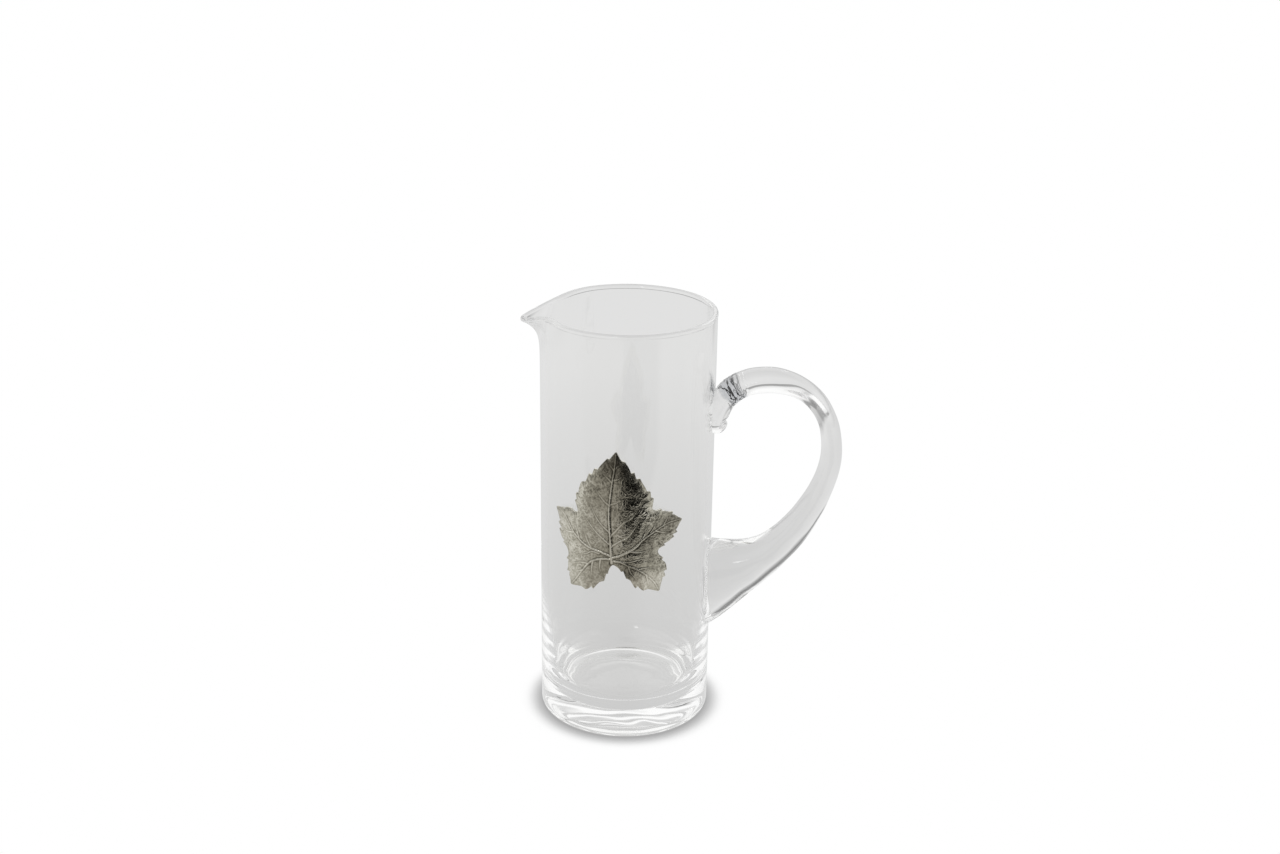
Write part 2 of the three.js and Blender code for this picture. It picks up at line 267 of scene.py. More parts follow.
class Sketch:
    """A material's or world's node tree, drawn from code."""

    MIX_INPUTS = (0, 6, 7)
    MIX_RESULT = 2

    def __init__(self, tree: bpy.types.NodeTree) -> None:
        """Clears the tree.

        Args:
            tree: the node tree to draw in.
        """
        self.tree = tree
        tree.nodes.clear()

    def add(self, kind: str, settings: dict | None = None, **inputs: object) -> bpy.types.Node:
        """Adds a node.

        Args:
            kind: the node's type name, without its ShaderNode prefix.
            settings: properties of the node.
            inputs: values or output sockets for its inputs, by name with _ for a space.

        Returns:
            The new node.
        """
        node = self.tree.nodes.new("ShaderNode" + kind)
        for name, value in (settings or {}).items():
            setattr(node, name, value)
        for name, value in inputs.items():
            self.feed(node.inputs[name.replace("_", " ")], value)
        return node

    def feed(self, socket: Socket, value: object) -> None:
        """Links an output to a socket, or sets the socket's own value.

        Args:
            socket: the input to fill.
            value: an output socket, a number, or a colour or vector of numbers.
        """
        if isinstance(value, Socket):
            self.tree.links.new(value, socket)
        elif isinstance(value, tuple) and len(value) == 3 and socket.type == "RGBA":
            socket.default_value = (*value, 1.0)
        else:
            socket.default_value = value

    def math(self, operation: str, *values: object) -> Socket:
        """Adds a Math node.

        Args:
            operation: the node's operation.
            values: numbers or sockets, in order.

        Returns:
            The node's output.
        """
        node = self.add("Math", {"operation": operation})
        for socket, value in zip(node.inputs, values):
            self.feed(socket, value)
        return node.outputs[0]

    def ramp(self, factor: Socket, *stops: tuple[float, Colour]) -> Socket:
        """Adds a colour ramp.

        Args:
            factor: the value that it reads.
            stops: positions and colours, in order.

        Returns:
            The ramp's colour.
        """
        node = self.add("ValToRGB", Fac=factor)
        elements = node.color_ramp.elements
        while len(elements) < len(stops):
            elements.new(1.0)
        for element, (position, colour) in zip(elements, stops):
            element.position = position
            element.color = (*colour, 1.0)
        return node.outputs["Color"]

    def greys(self, factor: Socket, *stops: Pair) -> Socket:
        """Adds a ramp of greys at positions in order; a grey may be brighter than 1."""
        return self.ramp(factor, *((position, (grey,) * 3) for position, grey in stops))

    def blend(self, factor: object, first: object, second: object) -> Socket:
        """Adds a colour mix.

        Args:
            factor: 0 for the first colour, 1 for the second.
            first: a colour or socket.
            second: a colour or socket.

        Returns:
            The mixed colour.
        """
        node = self.add("Mix", {"data_type": "RGBA"})
        for place, value in zip(self.MIX_INPUTS, (factor, first, second)):
            self.feed(node.inputs[place], value)
        return node.outputs[self.MIX_RESULT]

    def noise(self, vector: object, scale: float, detail: float) -> Socket:
        """Adds a noise from 0 to 1, with its scale in cycles a metre and its octaves."""
        return self.add("TexNoise", Vector=vector, Scale=scale, Detail=detail).outputs["Fac"]

    def bump(self, height: Socket, depth: float) -> Socket:
        """Adds a bump of some depth in metres and gives its normal."""
        return self.add("Bump", Height=height, Distance=depth).outputs["Normal"]

    def span(
        self, value: Socket, edge: Pair, ends: Pair = (0.0, 1.0), soft: bool = False
    ) -> Socket:
        """Adds a map from one range of values to another.

        Args:
            value: the value that it reads.
            edge: where the range begins and ends.
            ends: what it gives there and beyond.
            soft: whether it eases in and out.

        Returns:
            The mapped value.
        """
        node = self.add(
            "MapRange",
            {"interpolation_type": "SMOOTHSTEP" if soft else "LINEAR"},
            Value=value,
            From_Min=edge[0],
            From_Max=edge[1],
            To_Min=ends[0],
            To_Max=ends[1],
        )
        return node.outputs["Result"]

    def surface(self, **inputs: object) -> None:
        """Adds the shader of a piece, by the names of its inputs, and shows it."""
        shader = self.add("BsdfPrincipled", **inputs)
        self.add("OutputMaterial", Surface=shader.outputs["BSDF"])


def new_material(name: str) -> tuple[Material, Sketch]:
    """Makes an empty node material.

    Args:
        name: the material's name.

    Returns:
        The material and the sketch of its tree.
    """
    material = bpy.data.materials.new(name)
    material.use_nodes = True
    return material, Sketch(material.node_tree)


class Finish:
    """A finish that draws its own node material."""

    name: str

    def draw(self, sketch: Sketch, place: Socket) -> None:
        """Draws the finish in an empty tree, from the piece's own coordinates."""
        raise NotImplementedError

    def material(self) -> Material:
        """Makes the finish's material.

        Returns:
            The material.
        """
        material, sketch = new_material(self.name)
        self.draw(sketch, sketch.add("TexCoord").outputs["Object"])
        return material


@dataclass(frozen=True)
class ClearGlass(Finish):
    """Hand-drawn clear glass with faint upright striae."""

    name: str = "clear_glass"
    tint: Colour = (0.992, 0.992, 0.988)
    ior: float = 1.5
    striae_scale: float = 90.0
    striae_stretch: float = 0.06
    striae_depth: float = 0.00002

    def draw(self, sketch: Sketch, place: Socket) -> None:
        """Draws the glass.

        Args:
            sketch: the empty tree.
            place: the piece's own coordinates.
        """
        drawn = sketch.add("Mapping", Vector=place, Scale=(1.0, 1.0, self.striae_stretch))
        striae = sketch.noise(drawn.outputs["Vector"], self.striae_scale, 2.0)
        sketch.surface(
            Base_Color=self.tint,
            Roughness=0.0,
            IOR=self.ior,
            Transmission_Weight=1.0,
            Normal=sketch.bump(striae, self.striae_depth),
        )


@dataclass(frozen=True)
class FusedSeam(Finish):
    """The inner face where two gathers of glass have run into one, which bends no light."""

    name: str = "fused_seam"
    tint: Colour = (1.0, 1.0, 1.0)
    ior: float = 1.0

    def draw(self, sketch: Sketch, place: Socket) -> None:
        """Draws the seam, which is the same at every place."""
        sketch.surface(Base_Color=self.tint, Roughness=0.0, IOR=self.ior, Transmission_Weight=1.0)


@dataclass(frozen=True)
class PaintedShadeSpecks(Finish):
    """Painted shade on the glass where the pincers pressed: a grey tint, and curled dark specks
    over it.
    """

    middle: Place
    reach: float
    name: str = "painted_shade_specks"
    clear: Colour = (0.992, 0.992, 0.988)
    # painted shade colours: a grey tint of the glass and dark specks
    painted_grey_tint: Colour = (0.5, 0.52, 0.55)
    dark: Colour = (0.02, 0.02, 0.022)
    ior: float = 1.5
    roughness: float = 0.35
    behind: Pair = (0.0, 0.004)
    fray: float = 0.9
    fray_scale: float = 330.0
    fade: Pair = (0.1, 0.5)
    curl_scale: float = 400.0
    curl_width: Pair = (0.03, 0.06)

    def share(self, sketch: Sketch, place: Socket) -> Socket:
        """Draws where the painted shade lies.

        Args:
            sketch: the material's tree.
            place: the piece's own coordinates.

        Returns:
            1 in the middle of the painted shade, 0 outside of it.
        """
        apart = sketch.add("VectorMath", {"operation": "DISTANCE"}, Vector=place)
        apart.inputs[1].default_value = self.middle
        outward = sketch.math("DIVIDE", apart.outputs["Value"], self.reach)
        cloud = sketch.noise(place, self.fray_scale, 2.0)
        frayed = sketch.math("MULTIPLY_ADD", cloud, self.fray, 1 - self.fray / 2)
        within = sketch.math("SUBTRACT", frayed, sketch.math("POWER", outward, 2.0))
        depth = sketch.add("SeparateXYZ", Vector=place).outputs["Y"]
        inner = sketch.span(within, self.fade, soft=True)
        return sketch.math("MULTIPLY", inner, sketch.span(depth, self.behind, soft=True))

    def draw(self, sketch: Sketch, place: Socket) -> None:
        """Draws the glass with its painted shade.

        Args:
            sketch: the empty tree.
            place: the piece's own coordinates.
        """
        share = self.share(sketch, place)
        curled = sketch.math("SUBTRACT", sketch.noise(place, self.curl_scale, 2.0), 0.5)
        width = sketch.math("ABSOLUTE", curled)
        line = sketch.span(width, self.curl_width, (1.0, 0.0), soft=True)
        # painted shade: dark specks over a grey tint of the glass
        speck = sketch.math("MULTIPLY", line, share)
        tint = sketch.blend(share, self.clear, self.painted_grey_tint)
        sketch.surface(
            Base_Color=sketch.blend(speck, tint, self.dark),
            Roughness=sketch.math("MULTIPLY", speck, self.roughness),
            IOR=self.ior,
            Transmission_Weight=sketch.math("SUBTRACT", 1.0, speck),
        )


@dataclass(frozen=True)
class AntiquePewter(Finish):
    """Cast pewter: dark patina in the recesses, rubbed bright on veins and wrinkles."""

    name: str = "antique_pewter"
    patina: str = "patina"
    dark: Colour = (0.085, 0.077, 0.06)
    middle: Colour = (0.41, 0.392, 0.326)
    bright: Colour = (0.76, 0.738, 0.66)
    stops: tuple[float, float, float] = (0.06, 0.45, 0.9)
    rough_span: Pair = (0.1, 0.6)
    rough_ends: Pair = (0.3, 0.1)
    cloud_scale: float = 300.0
    cloud_share: float = 0.44
    cloud_shift: float = -0.31
    skin_scale: float = 520.0
    skin_twist: float = 0.6
    skin_line: float = 0.16
    skin_share: float = 0.12
    skin_depth: float = 0.000028

    def draw(self, sketch: Sketch, place: Socket) -> None:
        """Draws the pewter.

        Args:
            sketch: the empty tree.
            place: the piece's own coordinates.
        """
        rubbed = sketch.add("Attribute", {"attribute_name": self.patina}).outputs["Fac"]
        cloud = sketch.noise(place, self.cloud_scale, 4.0)
        skin = sketch.add(
            "TexNoise", Vector=place, Scale=self.skin_scale, Detail=2.0, Distortion=self.skin_twist
        ).outputs["Fac"]
        fold = sketch.math("ABSOLUTE", sketch.math("SUBTRACT", skin, 0.5))
        line = sketch.span(fold, (0.0, self.skin_line), (1.0, 0.0), soft=True)
        worn = sketch.math("MULTIPLY_ADD", cloud, self.cloud_share, self.cloud_shift)
        worn = sketch.math("MULTIPLY_ADD", line, self.skin_share, worn)
        mottled = sketch.math("ADD", rubbed, worn)
        shades = zip(self.stops, (self.dark, self.middle, self.bright))
        sketch.surface(
            Base_Color=sketch.ramp(mottled, *shades),
            Metallic=1.0,
            Roughness=sketch.span(mottled, self.rough_span, self.rough_ends),
            Normal=sketch.bump(line, self.skin_depth),
        )


@dataclass(frozen=True)
class CuredBond(Finish):
    """Clear cured adhesive, slightly cloudy."""

    name: str = "cured_bond"
    colour: Colour = (0.9, 0.89, 0.86)
    ior: float = 1.46
    clearness: float = 0.25
    cloud_scale: float = 400.0
    rough_ends: Pair = (0.12, 0.4)

    def draw(self, sketch: Sketch, place: Socket) -> None:
        """Draws the bond.

        Args:
            sketch: the empty tree.
            place: the piece's own coordinates.
        """
        cloud = sketch.noise(place, self.cloud_scale, 3.0)
        sketch.surface(
            Base_Color=self.colour,
            Roughness=sketch.span(cloud, (0.0, 1.0), self.rough_ends),
            IOR=self.ior,
            Transmission_Weight=self.clearness,
        )


# Pieces


@dataclass
class GlassBody:
    """The blown cylinder: heavy base, beaded rim and drawn pouring lip."""

    radius: float = 0.045
    height: float = 0.222
    wall: float = 0.0026
    bead: float = 0.00155
    heel: float = 0.0024
    foot_ring: float = 0.0395
    push_up: float = 0.004
    push_power: float = 3.0
    ripple: float = 0.00025
    ripple_size: float = 0.011
    floor: float = 0.010
    floor_radius: float = 0.026
    floor_dish: float = 0.0005
    thick_top: float = 0.07
    thick_extra: float = 0.0018
    fillet_top: float = 0.034
    lip_reach: float = 0.01046
    lip_half_angle: float = 26.0
    lip_power: float = 1.6
    lip_rounding: float = 0.16
    lip_decay: float = 0.0043
    droop: float = 0.00666
    droop_half_angle: float = 38.0
    droop_power: float = 1.9
    pinch_depth: float = 0.00135
    pinch_angle: float = 34.0
    pinch_near: float = 8.0
    pinch_far: float = 13.0
    pinch_decay: float = 0.009
    columns: int = 288
    bead_steps: int = 16
    heel_steps: int = 7
    lip_span: Pair = (8.3, 0.3)
    lip_rows: int = 22
    straight: Pair = (0.02, 0.17)
    outer_rows: int = 12
    inner_rows: int = 24
    corner_steps: int = 26
    floor_shares: tuple[float, float, int] = (0.9, 0.1, 9)
    under_shares: tuple[float, float, int] = (0.0, 0.9, 14)
    under_ends: Pair = (0.95, 1.0)

    def lip_share(self, angle: float, half_angle: float, power: float) -> float:
        """How far the lip is drawn at an angle.

        Args:
            angle: degrees from the middle of the lip.
            half_angle: where the drawing ends.
            power: how fast it falls off.

        Returns:
            1 at the lip's tip, 0 at its sides and beyond.
        """
        slope = math.hypot(angle / half_angle, self.lip_rounding) - self.lip_rounding
        whole = math.hypot(1, self.lip_rounding) - self.lip_rounding
        return max(0.0, 1 - slope / whole) ** power

    def middle(self, angle: float, below: np.ndarray) -> np.ndarray:
        """Radius of the wall's middle.

        Args:
            angle: degrees from the middle of the lip.
            below: distances under the rim's end.

        Returns:
            The radii.
        """
        aside = abs(angle) - self.pinch_angle
        spread = self.pinch_near if aside < 0 else self.pinch_far
        pinch = self.pinch_depth * math.exp(-((aside / spread) ** 2))
        drawn = self.lip_reach * self.lip_share(angle, self.lip_half_angle, self.lip_power)
        return (
            self.radius
            - self.wall / 2
            + drawn * np.exp(-below / self.lip_decay)
            - pinch * np.exp(-below / self.pinch_decay)
        )

    def inner_radius(self, z: float) -> float:
        """Radius of the straight inner wall, which thickens near the base.

        Args:
            z: a height.

        Returns:
            The radius there.
        """
        share = min(1.0, max(0.0, (self.thick_top - z) / (self.thick_top - self.fillet_top)))
        return self.radius - self.wall - self.thick_extra * share**2

    def section(self, angle: float) -> np.ndarray:
        """Half section from the foot's centre over the rim to the floor's centre.

        Args:
            angle: degrees from the middle of the lip.

        Returns:
            Rows of radius and height, as many at every angle.
        """
        sunk = self.droop * self.lip_share(angle, self.droop_half_angle, self.droop_power)
        end = self.height - self.bead - sunk
        below = self.lip_decay * np.geomspace(*self.lip_span, self.lip_rows)
        middle = self.middle(angle, below)
        step = 1e-5
        slope = (self.middle(angle, below - step) - self.middle(angle, below + step)) / (2 * step)
        length = np.hypot(1, slope)
        across = np.stack([1 / length, -slope / length], axis=1) * self.wall / 2
        line = np.stack([middle, end - below], axis=1)
        tip_slope = float(
            self.middle(angle, np.array([0.0]))[0] - self.middle(angle, np.array([step]))[0]
        ) / step
        normal = np.array([1, -tip_slope]) / math.hypot(1, tip_slope)
        tangent = np.array([tip_slope, 1]) / math.hypot(1, tip_slope)
        tip = np.array([self.middle(angle, np.array([0.0]))[0], end])
        shoulder = math.acos(self.wall / 2 / self.bead)
        turn = np.linspace(-shoulder, math.pi + shoulder, self.bead_steps)[:, None]
        bead = tip + self.bead * (np.cos(turn) * normal + np.sin(turn) * tangent)
        quarter = np.linspace(0, math.pi / 2, self.heel_steps)
        heel = np.stack(
            [
                self.radius - self.heel * (1 - np.sin(quarter)),
                self.heel * (1 - np.cos(quarter)),
            ],
            axis=1,
        )
        low, high = self.straight
        outer = [(self.radius, z) for z in np.linspace(low, high, self.outer_rows)]
        bowl_top = self.fillet_top + MILLIMETRE
        levels = np.linspace(high, bowl_top, self.inner_rows)
        inner = [(self.inner_radius(z), z) for z in levels]
        return np.vstack(
            [
                self.underside(),
                heel,
                outer,
                line + across,
                bead,
                (line - across)[::-1],
                inner,
                self.bowl(),
                [(0.0, self.floor)],
            ]
        )

    def underside(self) -> np.ndarray:
        """Pushed-up underside, inside the foot ring.

        Returns:
            Rows of radius and height, from the axis to the ring.
        """
        share = np.concatenate([np.linspace(*self.under_shares), self.under_ends])
        rise = self.push_up * (1 - share**self.push_power)
        return np.stack([share * self.foot_ring, rise], axis=1)

    def bowl(self) -> np.ndarray:
        """Inner corner and dished floor.

        Returns:
            Rows of radius and height, from the wall to beside the axis.
        """
        wall = self.inner_radius(self.fillet_top)
        dish = self.floor + self.floor_dish
        turn = np.linspace(math.pi / 2, 0, self.corner_steps)
        corner = np.stack(
            [
                self.floor_radius + (wall - self.floor_radius) * np.sin(turn),
                self.fillet_top - (self.fillet_top - dish) * np.cos(turn),
            ],
            axis=1,
        )
        inside = np.linspace(*self.floor_shares)
        floor = np.stack(
            [inside * self.floor_radius, self.floor + self.floor_dish * inside**2], axis=1
        )
        return np.vstack([corner, floor])

    def build(self) -> Piece:
        """Spins the plain half section and draws the lip out of the rim.

        Returns:
            The closed body.
        """
        plain = self.section(180.0)
        deselect_all()
        bpy.ops.mesh.primitive_plane_add(size=0.01, location=(0, 0, 0))
        body = bpy.context.object
        body.name = "carafe_body"
        bpy.ops.object.mode_set(mode="EDIT")
        bpy.ops.mesh.merge(type="CENTER")
        bpy.ops.transform.translate(value=(plain[0, 0], 0.0, plain[0, 1]))
        for move in np.diff(plain, axis=0):
            bpy.ops.mesh.extrude_vertices_move(
                TRANSFORM_OT_translate={"value": (move[0], 0.0, move[1])}
            )
        bpy.ops.mesh.select_all(action="SELECT")
        bpy.ops.mesh.spin(
            steps=self.columns, angle=2 * math.pi, center=(0, 0, 0), axis=(0, 0, 1)
        )
        bpy.ops.object.mode_set(mode="OBJECT")
        close_mesh(body)
        self.draw_lip(body, plain)
        return body

    def draw_lip(self, body: Piece, plain: np.ndarray) -> None:
        """Moves each column of the spun body to the section at its own angle.

        Args:
            body: the spun body.
            plain: the half section that it was spun from.
        """
        points = mesh_points(body)
        radius = np.hypot(points[:, 0], points[:, 1])
        apart = (radius[:, None] - plain[:, 0]) ** 2 + (points[:, 2, None] - plain[:, 1]) ** 2
        level = apart.argmin(axis=1)
        turn = np.degrees(np.arctan2(points[:, 1], points[:, 0]))
        column = np.round((turn + 180) / 360 * self.columns).astype(int) % self.columns
        angles = (np.arange(self.columns) * 360 / self.columns + 180) % 360 - 180
        sections = np.stack([self.section(float(angle)) for angle in angles])
        moved = sections[column, level]
        heading = np.radians(angles[column] + 180)
        across = moved[:, :1] * np.stack([np.cos(heading), np.sin(heading)], axis=1)
        height = moved[:, 1] + self.unevenness(across, moved[:, 1])
        place_points(body, np.column_stack([across, height]))

    def unevenness(self, across: np.ndarray, height: np.ndarray) -> np.ndarray:
        """Ripples that the cooling glass keeps under the base.

        Args:
            across: x and y of the body's points.
            height: their heights.

        Returns:
            How far each point is raised.
        """
        radius = np.linalg.norm(across, axis=1)
        under = (height <= self.push_up) & (radius < self.foot_ring)
        raised = np.zeros(len(height))
        for place in np.flatnonzero(under):
            spot = Vector((*across[place], 0.0)) / self.ripple_size
            quiet = 1 - (radius[place] / self.foot_ring) ** 6
            raised[place] = self.ripple * quiet * noise.noise(spot)
        return raised


@dataclass(frozen=True)
class Station:
    """Facing points of the handle's outer and inner edge (x, z), and its half width there."""

    outer: Pair
    inner: Pair
    half: float


@dataclass
class PulledHandle:
    """The solid glass handle, set low on the wall, pulled over and curled at its tail."""

    stations: tuple[Station, ...] = (
        Station((0.037, 0.0435), (0.037, 0.0995), 0.0124),
        Station((0.050, 0.0525), (0.047, 0.0980), 0.0120),
        Station((0.0625, 0.0650), (0.0603, 0.0982), 0.0110),
        Station((0.0825, 0.0857), (0.0721, 0.1027), 0.0099),
        Station((0.0977, 0.1072), (0.0845, 0.1152), 0.0093),
        Station((0.1072, 0.1300), (0.0953, 0.1332), 0.0090),
        Station((0.1110, 0.1500), (0.0998, 0.1510), 0.0088),
        Station((0.1072, 0.1703), (0.0972, 0.1686), 0.0088),
        Station((0.0952, 0.1866), (0.0885, 0.1789), 0.0089),
        Station((0.0770, 0.1944), (0.0750, 0.1822), 0.0090),
        Station((0.0600, 0.1926), (0.0622, 0.1796), 0.0090),
        Station((0.0475, 0.1852), (0.0550, 0.1730), 0.0088),
        Station((0.0418, 0.1740), (0.0524, 0.1672), 0.0082),
        Station((0.0412, 0.1662), (0.0509, 0.1648), 0.0076),
        Station((0.0416, 0.1622), (0.0518, 0.1624), 0.0076),
        Station((0.0430, 0.1594), (0.0500, 0.1594), 0.0054),
        Station((0.0460, 0.1584), (0.0470, 0.1583), 0.0012),
    )
    squareness: float = 2.3
    sides: int = 64
    per_span: int = 10
    seat_lift: float = 0.00001
    pocket_depth: float = 0.00004
    seat_columns: int = 288
    grip: Place = (0.052, 0.004, 0.182)
    grip_radius: float = 0.0105
    grip_side: Pair = (-0.003, 0.003)
    grip_size: float = 0.0011
    grip_depth: float = 0.0006
    grip_cuts: int = 5
    grip_mouth: float = 0.0485
    # how far the painted shade reaches, in grip radii
    shade_specks_reach: float = 1.2
    shade_tint_reach: float = 0.86
    width_step: float = 0.01
    wave_size: float = 0.0095
    wave_depth: float = 0.00022

    def rings(self) -> np.ndarray:
        """Sections along the handle.

        Returns:
            Points by ring and side.
        """
        outer = rail_points([station.outer for station in self.stations], self.per_span)
        inner = rail_points([station.inner for station in self.stations], self.per_span)
        widths = [(i * self.width_step, station.half) for i, station in enumerate(self.stations)]
        half = rail_points(widths, self.per_span)[:, 1]
        turn = np.arange(self.sides) / self.sides * 2 * math.pi
        power = 2 / self.squareness
        along = np.sign(np.cos(turn)) * np.abs(np.cos(turn)) ** power
        across = np.sign(np.sin(turn)) * np.abs(np.sin(turn)) ** power
        centre, reach = (outer + inner) / 2, (outer - inner) / 2
        plane = centre[:, None] + reach[:, None] * along[None, :, None]
        width = half[:, None] * across[None, :]
        return np.stack([plane[..., 0], width, plane[..., 1]], axis=-1)

    def rod(self) -> Piece:
        """Extrudes a ring along the handle and closes both ends.

        Returns:
            The whole rod, with both ends still inside the wall.
        """
        rings = self.rings()
        deselect_all()
        bpy.ops.mesh.primitive_circle_add(vertices=self.sides, radius=0.01, fill_type="NOTHING")
        rod = bpy.context.object
        rod.name = "carafe_handle"
        bpy.ops.object.mode_set(mode="EDIT")
        edit = bmesh.from_edit_mesh(rod.data)
        self.place_ring(edit, rings[0])
        bpy.ops.mesh.edge_face_add()
        for ring in rings[1:]:
            bpy.ops.mesh.extrude_edges_move()
            self.place_ring(bmesh.from_edit_mesh(rod.data), ring)
        bpy.ops.mesh.edge_face_add()
        bmesh.update_edit_mesh(rod.data)
        bpy.ops.object.mode_set(mode="OBJECT")
        close_mesh(rod)
        self.press(rod)
        return rod

    def cell(self, vert: bmesh.types.BMVert) -> tuple[int, int]:
        """A point's ring along the rod and its place round it, counted from the underside."""
        return vert.index // self.sides, (vert.index + self.sides // 4) % self.sides

    def press(self, rod: Piece) -> None:
        """Presses the pincers' marks into the back of the rod, above the wall.

        Args:
            rod: the plain rod.
        """
        middle = Vector(self.grip)
        activate(rod)
        bpy.ops.object.mode_set(mode="EDIT")
        edit = bmesh.from_edit_mesh(rod.data)
        near = [
            self.cell(vert)
            for face in edit.faces
            if (face.calc_center_median() - middle).length < self.grip_radius
            for vert in face.verts
        ]
        low, high = np.min(near, axis=0), np.max(near, axis=0)
        bpy.ops.mesh.select_all(action="DESELECT")
        for face in edit.faces:
            cells = np.array([self.cell(vert) for vert in face.verts])
            if ((cells >= low) & (cells <= high)).all():
                face.select_set(True)
        bmesh.update_edit_mesh(rod.data)
        bpy.ops.mesh.subdivide(number_cuts=self.grip_cuts)
        bpy.ops.object.mode_set(mode="OBJECT")
        points = mesh_points(rod)
        apart = np.linalg.norm(points - np.array(self.grip), axis=1) / self.grip_radius
        side = np.clip((points[:, 1] - self.grip_side[0]) / np.ptp(self.grip_side), 0, 1)
        share = np.clip(1 - apart**2, 0, None) * side
        for place in np.flatnonzero(share):
            mark = noise.noise(Vector(points[place]) / self.grip_size)
            outward = np.array(rod.data.vertices[place].normal)
            points[place] += self.grip_depth * share[place] * mark * outward
        for place, point in enumerate(points.copy()):
            sunk = self.wave_depth * (noise.noise(Vector(point) / self.wave_size) - 1)
            points[place] += sunk * np.array(rod.data.vertices[place].normal)
        place_points(rod, points)

    def paint_shade_specks(self, rod: Piece, marked: Material) -> None:
        """Gives the pressed back of the rod the finish with painted shade.

        Args:
            rod: the pressed rod.
            marked: the finish that paints shade on the glass.
        """
        rod.data.materials.append(marked)
        # the faces that get the painted shade
        for face in rod.data.polygons:
            near = (face.center - Vector(self.grip)).length < self.shade_specks_reach * self.grip_radius
            clear = math.hypot(face.center.x, face.center.y) > self.grip_mouth
            if near and clear and face.center.y > 0:
                face.material_index = len(rod.data.materials) - 1

    @staticmethod
    def place_ring(edit: bmesh.types.BMesh, ring: np.ndarray) -> None:
        """Moves the selected loop of points to a section.

        Args:
            edit: the mesh in edit mode.
            ring: the section's points, in order.
        """
        edit.verts.ensure_lookup_table()
        chosen = [vert for vert in edit.verts if vert.select]
        for vert, point in zip(chosen, ring):
            vert.co = point

    def seat(self, radius: float, height: float, seam: Material) -> Piece:
        """Makes the wall's cylinder, which trims the rod.

        Args:
            radius: its radius.
            height: the body's height.
            seam: the finish of the faces that it leaves.

        Returns:
            The cylinder.
        """
        deselect_all()
        bpy.ops.mesh.primitive_cylinder_add(
            vertices=self.seat_columns, radius=radius, depth=height, location=(0, 0, height / 2)
        )
        seat = bpy.context.object
        bpy.ops.object.transform_apply(location=True, rotation=True, scale=True)
        dress(seat, seam)
        return seat

    @staticmethod
    def cut(piece: Piece, cutter: Piece) -> None:
        """Takes one solid out of another, whose new faces keep the cutter's finish.

        Args:
            piece: the solid that stays.
            cutter: the solid that is taken out and then removed.
        """
        modifier = piece.modifiers.new("cut", "BOOLEAN")
        modifier.operation = "DIFFERENCE"
        modifier.solver = "EXACT"
        modifier.material_mode = "TRANSFER"
        modifier.object = cutter
        activate(piece)
        bpy.ops.object.modifier_apply(modifier=modifier.name)
        bpy.data.objects.remove(cutter)

    def join(self, body: Piece, size: GlassBody, glass: Material, seam: Material) -> Piece:
        """Makes the handle and runs it into the wall.

        Args:
            body: the glass body.
            size: the body's sizes.
            glass: the glass finish.
            seam: the finish of the faces that have run together.

        Returns:
            The handle.
        """
        handle = self.rod()
        dress(handle, glass)
        # painted shade: grey tint and dark specks on the glass where the pincers pressed
        marks = PaintedShadeSpecks(self.grip, self.shade_tint_reach * self.grip_radius)
        self.paint_shade_specks(handle, marks.material())
        pocket = handle.copy()
        pocket.data = handle.data.copy()
        bpy.context.collection.objects.link(pocket)
        self.cut(handle, self.seat(size.radius + self.seat_lift, size.height, seam))
        self.cut(pocket, self.seat(size.radius - self.pocket_depth, size.height, seam))
        self.cut(body, pocket)
        return handle


def drawn(points: Line) -> FlatCurve:
    """Lays a curve of the leaf's drawing through points in millimetres from the heart."""
    return FlatCurve([(u * MILLIMETRE, v * MILLIMETRE) for u, v in points])


class VeinKind(Enum):
    """Kinds of vein, by half width and height at the root and the share of both left at the tip."""

    MIDRIB = (0.0005, 0.0002, 0.6)
    MAIN = (0.00046, 0.0002, 0.5)
    SIDE = (0.00033, 0.00012, 0.5)


@dataclass(frozen=True)
class TonePatch:
    """A soft patch where the leaf's colour is darker, or brighter where its depth is below 0, in
    millimetres.
    """

    middle: Pair
    radius: float
    depth: float


